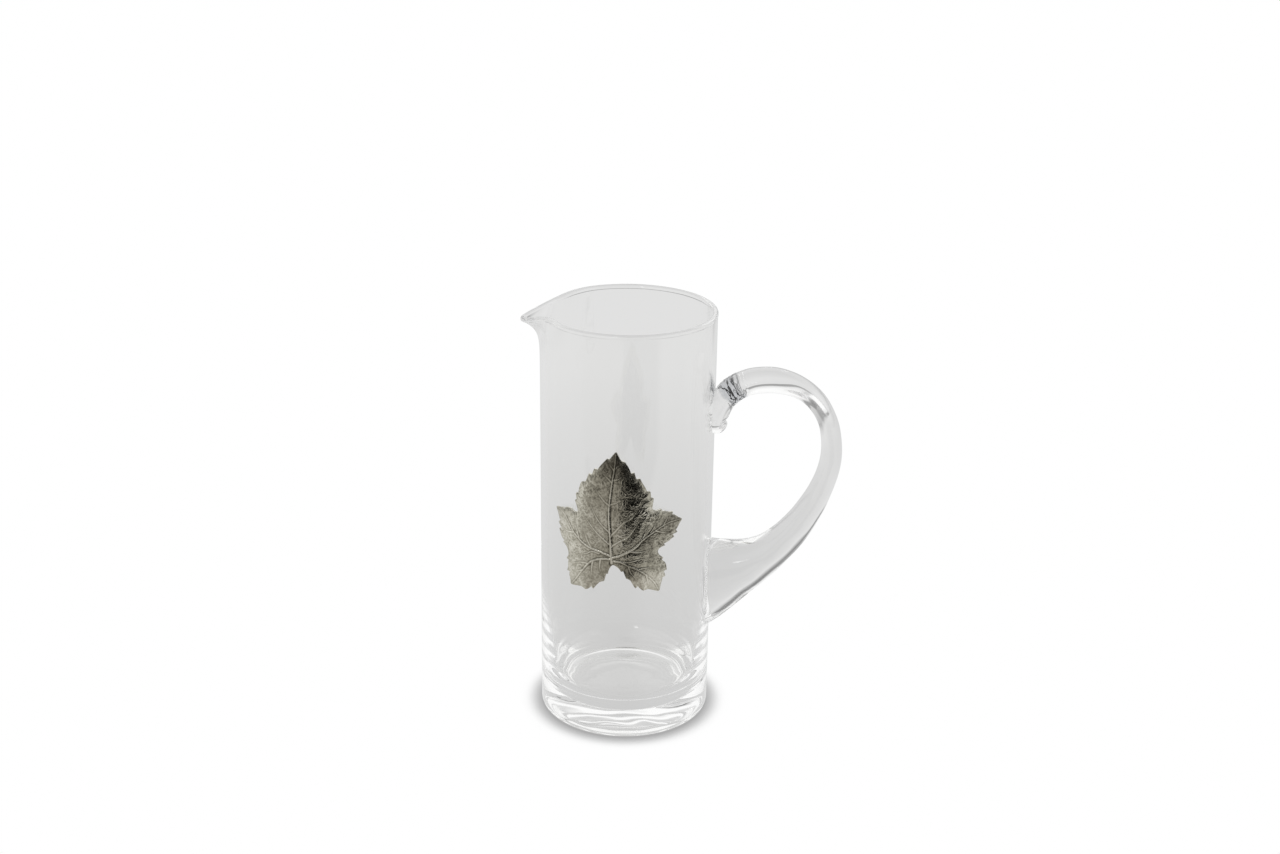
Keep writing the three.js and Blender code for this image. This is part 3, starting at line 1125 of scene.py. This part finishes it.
@dataclass
class VineLeaf:
    """The cast leaf, drawn flat about the point where its veins meet, then laid on the glass.

    Its edges run clockwise from the top, by turns from a lobe's tip to a bay and on to a tip.
    """

    back_radius: float = 0.04605
    heart_height: float = 0.105
    centre: Pair = (0.0, 0.008)
    edge_thickness: float = 0.001
    crown: float = 0.0008
    roll: float = 0.0022
    tooth: float = 0.0016
    tooth_pitch: float = 0.0058
    tooth_drift: float = 0.22
    tooth_shape: tuple[Pair, ...] = ((0.0, 1.0), (0.16, 0.0), (1.0, 1.0))
    columns: int = 860
    front_rows: int = 100
    edge_rows: int = 3
    back_rows: int = 8
    back_patina: float = 0.8
    edges: tuple[Line, ...] = (
        ((1, 57.5), (9.8, 47.2), (16.6, 38.8), (20, 31.8), (19.5, 26.6)),
        ((19.5, 26.6), (28.2, 25), (35.9, 18.4)),
        ((35.9, 18.4), (32.6, 11), (27.2, 6.4), (22.6, 3.4)),
        ((22.6, 3.4), (27.4, -4.5), (26.8, -11.5), (23.6, -19.3)),
        ((23.6, -19.3), (15.6, -18.2), (9, -15), (5.2, -8.5), (0, -3.8)),
        ((0, -3.8), (-2.7, -9.5), (-6, -15.6), (-13, -19.4), (-22.8, -18.8)),
        ((-22.8, -18.8), (-25.8, -9), (-24.8, -0.5)),
        ((-24.8, -0.5), (-29.6, 6), (-31.4, 14), (-32.8, 21.5)),
        ((-32.8, 21.5), (-24.8, 23.4), (-18.8, 22.6)),
        ((-18.8, 22.6), (-20.4, 30), (-17, 38.8), (-10, 47.4), (1, 57.5)),
    )
    midrib: Line = (
        (-0.5, -2.8), (-1.1, 10), (-1.9, 22.5), (-1.7, 30), (-0.5, 41.2), (0.7, 50), (1, 56),
    )
    main_veins: tuple[Line, ...] = (
        (
            (-0.3, 0.6), (3.2, 1.6), (7, 4), (10.7, 6.3), (13.9, 10), (17, 12.5), (20.7, 15),
            (24.5, 17.2), (29, 18.6), (34, 18.6),
        ),
        (
            (-0.6, 1.2), (-5.4, 3), (-10.5, 4.4), (-14.2, 6), (-17.4, 8.4), (-20.5, 11.2),
            (-23, 15), (-26, 19), (-30.5, 21.4),
        ),
        (
            (-0.2, -1.4), (4.5, -1.8), (7.6, -3.7), (12, -5.6), (16.4, -9), (20.7, -13.7),
            (22.6, -17.5),
        ),
        (
            (-0.6, -0.4), (-5.5, -0.6), (-9.9, -2.2), (-12.4, -4.4), (-15.5, -8.7), (-19.2, -14.4),
            (-21.8, -17.6),
        ),
    )
    side_veins: tuple[Line, ...] = (
        ((-1.7, 29.4), (1.4, 30.7), (5.1, 32.7), (9.5, 32.6), (15, 31.8)),
        ((-1, 12.6), (1.4, 15.4), (5.1, 20), (8.9, 22.6), (12, 27.4), (14, 30)),
        ((-0.4, 42.6), (2.2, 43.4), (5.1, 44.7), (10.4, 45.4)),
        ((-0.8, 6.6), (3, 9.6), (7, 12), (10.4, 17), (13, 22)),
        ((0.5, 49), (3.6, 51)),
        ((-1.8, 29), (-4.2, 31), (-7, 34.5), (-10, 38.4), (-12.6, 40)),
        ((-1.7, 14.5), (-5.4, 18), (-8.6, 22.5), (-11.4, 28.5), (-14, 32)),
        ((-1.1, 7.4), (-4.4, 10.2), (-9, 14.6), (-14, 21), (-17, 25)),
        ((-0.6, 41.4), (-4.2, 45), (-7, 47)),
        ((0.3, 48.2), (-2.6, 51.4)),
        ((8.2, 4.4), (12, 3.8), (15.8, 4.4), (20, 5.2)),
        ((13.9, 10), (15.4, 14), (15.8, 18)),
        ((17, 12.5), (20, 17), (21, 21)),
        ((20.7, 15), (25, 13.4), (29, 13)),
        ((24.4, 17.1), (26.6, 20.4), (27.4, 23)),
        ((-10.5, 4.3), (-13, 9), (-15.5, 16.2)),
        ((-17.4, 8.4), (-18.4, 12), (-19.6, 15.4), (-20, 20)),
        ((-20.5, 11.2), (-25, 10.6), (-28.4, 12)),
        ((-6.7, 2.2), (-10.5, 2.8), (-13.4, 1), (-19.2, -1)),
        ((7.6, -3.7), (8.9, -7.5), (11.4, -11), (12.4, -14.4)),
        ((12, -5.6), (17, -5), (22, -5.6)),
        ((16.4, -9), (17.4, -13), (17.6, -16)),
        ((5, -1.8), (9, -1.2), (14, 0), (19, 0.2)),
        ((-12.4, -4.4), (-16, -4.4), (-20, -5.7), (-23, -6)),
        ((-9.9, -2.2), (-10.6, -8), (-10, -13)),
        ((-15.4, -8.6), (-20, -10.6)),
        ((-6, -0.8), (-6.4, -6), (-5, -10)),
    )
    tone_patches: tuple[TonePatch, ...] = (
        TonePatch((1.0, 54.0), 8.0, 0.34),
        TonePatch((9.0, 42.0), 7.0, 0.2),
        TonePatch((-5.0, 44.0), 7.0, 0.2),
        TonePatch((-10.0, 34.0), 7.0, 0.1),
        TonePatch((3.0, 28.0), 5.0, 0.1),
        TonePatch((29.0, 16.0), 9.0, 0.26),
        TonePatch((20.0, 7.0), 7.0, 0.16),
        TonePatch((23.0, -4.0), 7.0, 0.2),
        TonePatch((7.0, -7.0), 4.5, 0.4),
        TonePatch((19.0, -12.0), 8.0, -0.24),
        TonePatch((-27.0, 14.0), 8.0, -0.08),
        TonePatch((-19.0, -12.0), 9.0, -0.1),
    )
    flank_depth: float = 0.00007
    puff: float = 0.00012
    puff_width: float = 0.003
    wrinkle_sizes: Pair = (0.0021, 0.0013)
    wrinkle_line: float = 0.13
    wrinkle_height: float = 0.00006
    calm_size: float = 0.011
    grain_size: float = 0.0011
    grain_depth: float = 0.000015
    edge_steps: int = 160
    vein_steps: int = 14
    vein_thinnest: float = 0.4
    flank_way: Pair = (2.0, 0.8)
    quiet_width: float = 0.0007
    bend: float = 0.0011
    bend_size: float = 0.0035
    calm: Pair = (0.65, 0.7)
    worn_field: float = 0.41
    worn_rib: float = 0.56
    worn_wrinkle: float = 0.44
    worn_grain: float = 0.08
    dark_flank: float = 0.36
    block: int = 4000

    def veins(self) -> list[tuple[VeinKind, FlatCurve]]:
        """Lays all veins.

        Returns:
            Their kinds and curves.
        """
        kinds = (
            (VeinKind.MIDRIB, (self.midrib,)),
            (VeinKind.MAIN, self.main_veins),
            (VeinKind.SIDE, self.side_veins),
        )
        return [(kind, drawn(line)) for kind, lines in kinds for line in lines]

    def outline(self) -> np.ndarray:
        """The toothed edge, at even steps along it.

        Returns:
            Flat points, one for each column.
        """
        made = []
        for turn, line in enumerate(self.edges):
            curve, outward = drawn(line), turn % 2 == 1
            teeth = max(2, round(curve.length / self.tooth_pitch))
            share = np.linspace(0, 1, self.edge_steps, endpoint=False)
            phase, cut = zip(*self.tooth_shape)
            uneven = share + self.tooth_drift / teeth * np.sin(5 * math.pi * share)
            depth = self.tooth * np.interp(uneven * teeth % 1.0, phase, cut)
            depth *= np.sqrt(np.sin(math.pi * share))
            place = 1 - share if outward else share
            way = curve.way(place)
            inward = np.stack([way[:, 1], -way[:, 0]], axis=1)
            points = curve.at(place) + inward * depth[:, None]
            made.append(points[::-1] if outward else points)
        path = np.vstack([*made, made[0][:1]])
        reach = run_length(path)
        places = np.linspace(0, reach[-1], self.columns, endpoint=False)
        return np.stack([np.interp(places, reach, path[:, i]) for i in (0, 1)], axis=1)

    def distance(self, points: np.ndarray, curve: FlatCurve) -> tuple[np.ndarray, np.ndarray]:
        """How far flat points lie from a vein.

        Args:
            points: the flat points.
            curve: the vein.

        Returns:
            The distances, and how far along the vein the nearest place is, from 0 to 1.
        """
        steps = self.vein_steps
        knots = curve.at(np.linspace(0, 1, steps + 1))
        best = np.full(len(points), np.inf)
        along = np.zeros(len(points))
        for step, (a, b) in enumerate(zip(knots, knots[1:])):
            edge = b - a
            share = np.clip(((points - a) @ edge) / (edge @ edge), 0, 1)
            apart = np.linalg.norm(points - a - share[:, None] * edge, axis=1)
            nearer = apart < best
            best = np.where(nearer, apart, best)
            along = np.where(nearer, (step + share) / steps, along)
        return best, along

    def relief(self, flat: np.ndarray, inset: np.ndarray) -> tuple[np.ndarray, np.ndarray]:
        """Height of the leaf's face over its back, and how far rubbing has reached it.

        Args:
            flat: flat points on the face.
            inset: their distances from the edge.

        Returns:
            The heights, and the patina from 0, dark, to 1, bright.
        """
        rib = np.zeros(len(flat))
        raised = np.zeros(len(flat))
        flank = np.zeros(len(flat))
        nearest = np.full(len(flat), np.inf)
        for kind, curve in self.veins():
            half, tall, left = kind.value
            apart, along = self.distance(flat, curve)
            taper = 1 - (1 - left) * along
            if kind is VeinKind.SIDE:
                taper *= np.sqrt(1 - along**3)
            half = half * np.maximum(taper, self.vein_thinnest)
            line = np.exp(-((apart / half) ** 2))
            rib = np.maximum(rib, line * taper)
            raised = np.maximum(raised, tall * line * taper)
            way, spread = self.flank_way
            beside = np.exp(-(((apart - way * half) / (spread * half)) ** 2)) * taper
            flank = np.maximum(flank, beside * tall / VeinKind.MIDRIB.value[1])
            nearest = np.minimum(nearest, apart)
        flank *= 1 - rib
        swell = 1 - np.exp(-((nearest / self.puff_width) ** 2))
        wrinkle, grain = self.wrinkles(flat)
        quiet = 1 - np.exp(-((nearest / self.quiet_width) ** 2))
        roll = 1 - np.exp(-inset / self.roll)
        wrinkle *= quiet
        height = (
            self.edge_thickness
            + self.crown * roll
            + self.puff * swell * roll
            + raised
            - self.flank_depth * flank
            + self.wrinkle_height * wrinkle * roll
            + self.grain_depth * grain * quiet
        )
        patina = (
            self.worn_field
            + self.worn_rib * rib
            + self.worn_wrinkle * wrinkle
            + self.worn_grain * grain
            - self.dark_flank * flank
        )
        # soft patches where the leaf's colour is made darker, or brighter
        for patch in self.tone_patches:
            apart = np.linalg.norm(flat - np.array(patch.middle) * MILLIMETRE, axis=1)
            patina -= patch.depth * np.exp(-((apart / (patch.radius * MILLIMETRE)) ** 2))
        return height, np.clip(patina, 0, 1)

    def wrinkles(self, flat: np.ndarray) -> tuple[np.ndarray, np.ndarray]:
        """The cast skin between the veins.

        Args:
            flat: flat points on the face.

        Returns:
            A net of fine raised lines from 0 to 1, and the grain of the casting about 0.
        """
        wrinkle = np.zeros(len(flat))
        grain = np.zeros(len(flat))
        coarse, fine = self.wrinkle_sizes
        for place, (u, v) in enumerate(flat):
            spot = Vector((u, v, 0.0))
            bent = spot + self.bend * noise.noise_vector(spot / self.bend_size)
            fold = min(abs(noise.noise(bent / coarse)), abs(noise.noise(bent / fine + FINE_SHIFT)))
            calm = self.calm[0] + self.calm[1] * noise.noise(spot / self.calm_size)
            wrinkle[place] = max(0.0, calm) * math.exp(-((fold / self.wrinkle_line) ** 2))
            grain[place] = noise.fractal(spot / self.grain_size, 1.0, 2.0, 3)
        return wrinkle, grain

    def on_glass(self, flat: np.ndarray, height: np.ndarray) -> np.ndarray:
        """Lays flat points round the body.

        Args:
            flat: the flat points.
            height: their heights over the leaf's back.

        Returns:
            Rows of x, y and z.
        """
        turn = flat[:, 0] / self.back_radius
        radius = self.back_radius + height
        return np.stack(
            [radius * np.sin(turn), -radius * np.cos(turn), self.heart_height + flat[:, 1]], axis=1
        )

    def build(self, pewter: Material, patina_name: str) -> Piece:
        """Wraps a grid into the closed leaf and works its relief.

        Args:
            pewter: the leaf's finish.
            patina_name: the attribute that the finish reads.

        Returns:
            The leaf.
        """
        rows = self.front_rows + self.edge_rows + self.back_rows
        deselect_all()
        bpy.ops.mesh.primitive_grid_add(x_subdivisions=self.columns, y_subdivisions=rows, size=1)
        leaf = bpy.context.object
        leaf.name = "vine_leaf"
        drawn = mesh_points(leaf) + 0.5
        column = np.round(drawn[:, 0] * self.columns).astype(int) % self.columns
        row = np.round(drawn[:, 1] * rows).astype(int)
        outline = self.outline()
        centre = np.array(self.centre)
        share = np.interp(
            row,
            (0, self.front_rows, self.front_rows + self.edge_rows, rows),
            (0, 1, 1, 0),
        )
        flat = centre + (outline[column] - centre) * share[:, None]
        front = row <= self.front_rows
        height = np.zeros(len(flat))
        patina = np.full(len(flat), self.back_patina)
        inset = self.inset(flat[front], outline)
        height[front], patina[front] = self.relief(flat[front], inset)
        side = (row > self.front_rows) & (row < self.front_rows + self.edge_rows)
        drop = 1 - (row - self.front_rows) / self.edge_rows
        height[side] = (self.edge_thickness * drop)[side]
        place_points(leaf, self.on_glass(flat, height))
        layer = leaf.data.attributes.new(patina_name, "FLOAT", "POINT")
        layer.data.foreach_set("value", patina.astype(np.float32))
        close_mesh(leaf)
        dress(leaf, pewter)
        shade(leaf, METAL_CREASE)
        return leaf

    def inset(self, flat: np.ndarray, outline: np.ndarray) -> np.ndarray:
        """Distance of flat points from the leaf's edge.

        Args:
            flat: the flat points.
            outline: the edge's points.

        Returns:
            The distances.
        """
        parts = [flat[start : start + self.block] for start in range(0, len(flat), self.block)]
        apart = (np.linalg.norm(part[:, None] - outline[None, ::2], axis=2) for part in parts)
        return np.concatenate([part.min(axis=1) for part in apart])


# Studio


@dataclass
class Camera:
    """Where the photograph was taken from, with its tilt and lens."""

    azimuth: float = 8.0
    distance: float = 0.83272
    height: float = 0.47884
    pitch: float = 21.07
    yaw: float = 0.446
    roll: float = 0.869
    lens_px: float = 1725.16
    width_px: float = 1280.0
    sensor: float = 36.0

    def build(self) -> None:
        """Makes the camera and gives it to the scene."""
        data = bpy.data.cameras.new("photo_camera")
        data.sensor_fit = "HORIZONTAL"
        data.sensor_width = self.sensor
        data.lens = self.lens_px / self.width_px * self.sensor
        camera = bpy.data.objects.new("photo_camera", data)
        bpy.context.collection.objects.link(camera)
        turn = Matrix.Rotation(math.radians(self.azimuth), 4, "Z")
        aim = (
            Matrix.Rotation(math.radians(-self.yaw), 4, "Z")
            @ Matrix.Rotation(math.radians(90 - self.pitch), 4, "X")
            @ Matrix.Rotation(math.radians(self.roll), 4, "Z")
        )
        camera.matrix_world = (
            turn @ Matrix.Translation((0, -self.distance, self.height)) @ aim
        )
        bpy.context.scene.camera = camera


@dataclass
class Studio:
    """A white sweep in a light tent that is open, and so darker, towards the camera."""

    floor_size: float = 30.0
    floor_drop: float = 0.00015
    near_grey: float = 0.605
    far_grey: float = 0.76
    far_distance: float = 0.55
    mirrored: tuple[tuple[float, Colour], ...] = (
        (-180.0, (0.68, 0.68, 0.68)),
        (-100.0, (0.85, 0.85, 0.85)),
        (-55.0, (0.88, 0.88, 0.87)),
        (-38.0, (0.6, 0.585, 0.56)),
        (10.0, (0.45, 0.43, 0.4)),
        (34.0, (0.76, 0.75, 0.73)),
        (90.0, (0.8, 0.8, 0.8)),
        (180.0, (0.68, 0.68, 0.68)),
    )
    gap_turn: tuple[Pair, ...] = ((1.0, 0.0), (3.0, 1.0), (42.0, 1.0), (50.0, 0.0))
    gap_start: Pair = (0.255, 0.3)
    gap_corner: float = 21.0
    gap_slant: float = 2.25
    gap_grey: float = 0.0
    side_turn: tuple[Pair, ...] = (
        (-180.0, 0.0),
        (-163.0, 0.0),
        (-155.0, 0.5),
        (-148.0, 1.0),
        (-143.0, 1.0),
        (-137.0, 0.2),
        (-120.0, 0.0),
        (147.0, 0.0),
        (151.0, 0.7),
        (154.0, 0.7),
        (158.0, 0.3),
        (168.0, 0.0),
        (180.0, 0.0),
    )
    side_start: Pair = (0.6, 0.8)
    side_top: Pair = (0.14, 0.26)
    side_grey: float = 0.2
    sweep_end: Pair = (5.0, 8.0)
    room_grey: float = 0.36
    shadow_reach: float = 0.016
    shadow_lean: Place = (0.0, 0.62, 0.78)
    shadow_samples: int = 16
    shadow_fall: tuple[Pair, ...] = (
        (0.5, 0.42),
        (0.61, 0.53),
        (0.68, 0.66),
        (0.735, 0.785),
        (0.79, 0.9),
        (0.85, 0.975),
        (0.9, 1.0),
    )
    tent: tuple[Pair, ...] = (
        (0.0, 0.36),
        (0.07, 0.36),
        (0.12, 0.8),
        (0.28, 1.02),
        (0.55, 1.02),
        (0.66, 0.68),
        (1.0, 0.6),
    )
    opening_way: Place = (0.34, -0.92, 0.2)
    opening_grey: float = 0.5
    opening_edge: Pair = (0.74, 0.96)
    lamp_way: Place = (-0.17, -0.965, 0.2)
    lamp_edge: Pair = (0.9975, 0.9992)
    lamp_glow: float = 4.5
    bounces: int = 256

    @staticmethod
    def turn(sketch: Sketch, axes: bpy.types.Node) -> Socket:
        """Measures how far a place lies round the object.

        Args:
            sketch: the tree to draw in.
            axes: the node that gives the place's x, y and z.

        Returns:
            The turn from 0 to 1, with 0.5 at the leaf's side.
        """
        front = sketch.math("MULTIPLY", axes.outputs["Y"], -1.0)
        heading = sketch.math("ARCTAN2", axes.outputs["X"], front)
        return sketch.math("MULTIPLY_ADD", heading, 0.5 / math.pi, 0.5)

    @staticmethod
    def stops(turns: tuple[tuple[float, object], ...]) -> list[tuple[float, object]]:
        """Turns angles in degrees, each with its value, into stops of a ramp along the turn."""
        return [(0.5 + angle / 360, value) for angle, value in turns]

    def side_gaps(self, sketch: Sketch, turn: Socket) -> Socket:
        """Marks the unlit gaps at both sides of the white sweep: 1 in a gap, 0 elsewhere."""
        return sketch.greys(turn, *self.stops(self.side_turn))

    def through_glass(self, sketch: Sketch, turn: Socket, distance: Socket) -> Socket:
        """Draws the floor as it is seen through glass: pale grey, with the side gaps far off.

        Args:
            sketch: the floor's tree.
            turn: the turn round the object.
            distance: the distance from the object.

        Returns:
            The floor's colour.
        """
        share = sketch.math("DIVIDE", distance, self.far_distance)
        grey = sketch.greys(share, (0.0, self.near_grey), (1.0, self.far_grey))
        far = sketch.span(distance, self.side_start)
        edge = sketch.math("MULTIPLY", self.side_gaps(sketch, turn), far)
        return sketch.blend(edge, grey, (self.side_grey,) * 3)

    def in_metal(self, sketch: Sketch, turn: Socket, distance: Socket) -> Socket:
        """Draws the floor as it is mirrored: by its turn, with an unlit gap in front.

        Args:
            sketch: the floor's tree.
            turn: the turn round the object.
            distance: the distance from the object.

        Returns:
            The floor's colour.
        """
        lit = sketch.ramp(turn, *self.stops(self.mirrored))
        gap = sketch.greys(turn, *self.stops(self.gap_turn))
        corner = 0.5 + self.gap_corner / 360
        past = sketch.math("MAXIMUM", sketch.math("SUBTRACT", turn, corner), 0.0)
        slanted = sketch.math("MULTIPLY_ADD", past, -self.gap_slant, distance)
        unlit = sketch.math("MULTIPLY", gap, sketch.span(slanted, self.gap_start))
        return sketch.blend(unlit, lit, (self.gap_grey,) * 3)

    def floor(self) -> None:
        """Lays the floor: white to the camera but for the object's shadow, grey to the rest."""
        deselect_all()
        bpy.ops.mesh.primitive_plane_add(size=self.floor_size, location=(0, 0, -self.floor_drop))
        floor = bpy.context.object
        floor.name = "studio_floor"
        material, sketch = new_material("studio_floor")
        path = sketch.add("LightPath").outputs
        place = sketch.add("TexCoord").outputs["Object"]
        distance = sketch.add("VectorMath", {"operation": "LENGTH"}, Vector=place).outputs["Value"]
        turn = self.turn(sketch, sketch.add("SeparateXYZ", Vector=place))
        glimpsed = sketch.blend(
            path[Ray.THROUGH.value],
            self.in_metal(sketch, turn, distance),
            self.through_glass(sketch, turn, distance),
        )
        past_sweep = sketch.span(distance, self.sweep_end)
        glimpsed = sketch.blend(past_sweep, glimpsed, (self.room_grey,) * 3)
        occlusion = sketch.add(
            "AmbientOcclusion",
            {"samples": self.shadow_samples},
            Distance=self.shadow_reach,
            Normal=self.shadow_lean,
        ).outputs["AO"]
        contact = sketch.greys(occlusion, *self.shadow_fall)
        shown = sketch.blend(path[Ray.CAMERA.value], glimpsed, contact)
        glow = sketch.add("Emission", Color=shown)
        sketch.add("OutputMaterial", Surface=glow.outputs["Emission"])
        dress(floor, material)

    @staticmethod
    def around(sketch: Sketch, way: Socket, middle: Place, edge: Pair) -> Socket:
        """Draws a soft disc in the room.

        Args:
            sketch: the room's tree.
            way: the direction looked in.
            middle: the direction of the disc's middle.
            edge: cosines of the angles at which the disc begins and is full.

        Returns:
            The disc's share, 0 to 1.
        """
        towards = sketch.add("VectorMath", {"operation": "DOT_PRODUCT"}, Vector=way)
        towards.inputs[1].default_value = middle
        return sketch.span(towards.outputs["Value"], edge, soft=True)

    def world(self) -> None:
        """Hangs the tent: white to the camera, softly graded to everything else."""
        world = bpy.data.worlds.new("studio")
        bpy.context.scene.world = world
        world.use_nodes = True
        sketch = Sketch(world.node_tree)
        path = sketch.add("LightPath").outputs
        way = sketch.add("TexCoord").outputs["Generated"]
        axes = sketch.add("SeparateXYZ", Vector=way)
        height = axes.outputs["Z"]
        tent = sketch.greys(height, *self.tent)
        low = sketch.span(height, self.side_top, (1.0, 0.0))
        edge = sketch.math("MULTIPLY", self.side_gaps(sketch, self.turn(sketch, axes)), low)
        tent = sketch.blend(edge, tent, (self.side_grey,) * 3)
        opening = self.around(sketch, way, self.opening_way, self.opening_edge)
        room = sketch.blend(opening, tent, (self.opening_grey,) * 3)
        lamp = self.around(sketch, way, self.lamp_way, self.lamp_edge)
        room = sketch.blend(lamp, room, (self.lamp_glow,) * 3)
        shown = sketch.blend(path[Ray.CAMERA.value], room, (1.0, 1.0, 1.0))
        light = sketch.add("Background", Color=shown)
        sketch.add("OutputWorld", Surface=light.outputs["Background"])

    def build(self) -> None:
        """Sets up floor, room, the plain view transform and enough bounces for thick glass."""
        self.floor()
        self.world()
        scene = bpy.context.scene
        scene.view_settings.view_transform = "Standard"
        scene.cycles.max_bounces = self.bounces
        scene.cycles.glossy_bounces = self.bounces
        scene.cycles.transmission_bounces = self.bounces


def main() -> None:
    """Builds the pieces, the studio and the camera in order."""
    logging.basicConfig(level=logging.INFO, format="%(name)s %(message)s")
    noise.seed_set(SEED)
    glass, seam = ClearGlass().material(), FusedSeam().material()
    pewter = AntiquePewter()
    size = GlassBody()
    body = size.build()
    dress(body, glass)
    handle = PulledHandle().join(body, size, glass, seam)
    for piece, node in ((body, "glass_body"), (handle, "glass_handle")):
        shade(piece, GLASS_CREASE)
        settle(piece, node)
    leaf = VineLeaf().build(pewter.material(), pewter.patina)
    settle(leaf, "pewter_leaf")
    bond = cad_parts["leaf_bond"]
    dress(bond, CuredBond().material())
    LOG.info("leaf_bond: dressed where it is")
    Camera().build()
    Studio().build()


if __name__ == "__main__":
    main()
